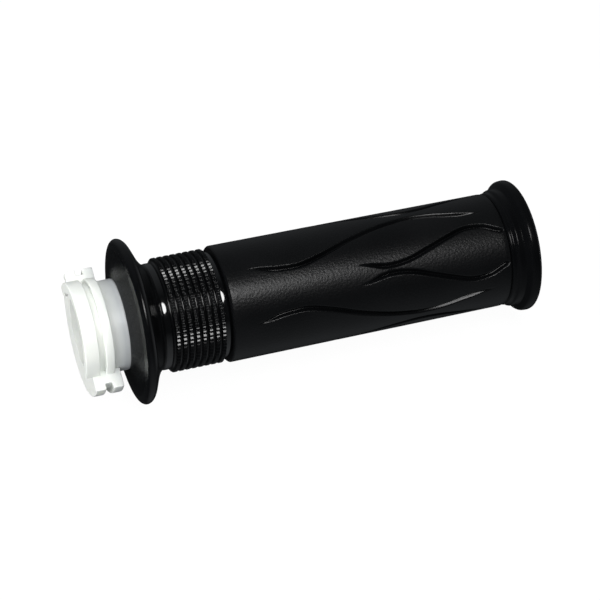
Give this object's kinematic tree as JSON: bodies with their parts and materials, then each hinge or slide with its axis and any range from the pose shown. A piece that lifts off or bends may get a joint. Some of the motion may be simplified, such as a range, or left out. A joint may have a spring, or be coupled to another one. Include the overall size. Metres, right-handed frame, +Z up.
{
  "type": "throttle grip",
  "caption": "Motorcycle throttle grip: a nylon throttle tube with a cable drum, under a rubber grip with a guard flange, a knurled collar and a wave-grooved barrel.",
  "frame": {"origin": "centre of the handlebar bore, in the plane of the tube's inboard end", "axes": "+X along the handlebar from the throttle housing to the bar end; +Z up; the middle of the side with no cable drum is at 120 degrees from +Y towards +Z"},
  "size_m": [0.1351, 0.0476, 0.0476],
  "materials": {
    "white_nylon": "milky white moulded nylon, satin",
    "black_rubber": "black moulded rubber, fine leather grain on the barrel, smooth on the rings, flange and bulb"
  },
  "bodies": {
    "root": {"throttle_tube": "white_nylon", "rubber_grip": "black_rubber"}
  },
  "joints": []
}
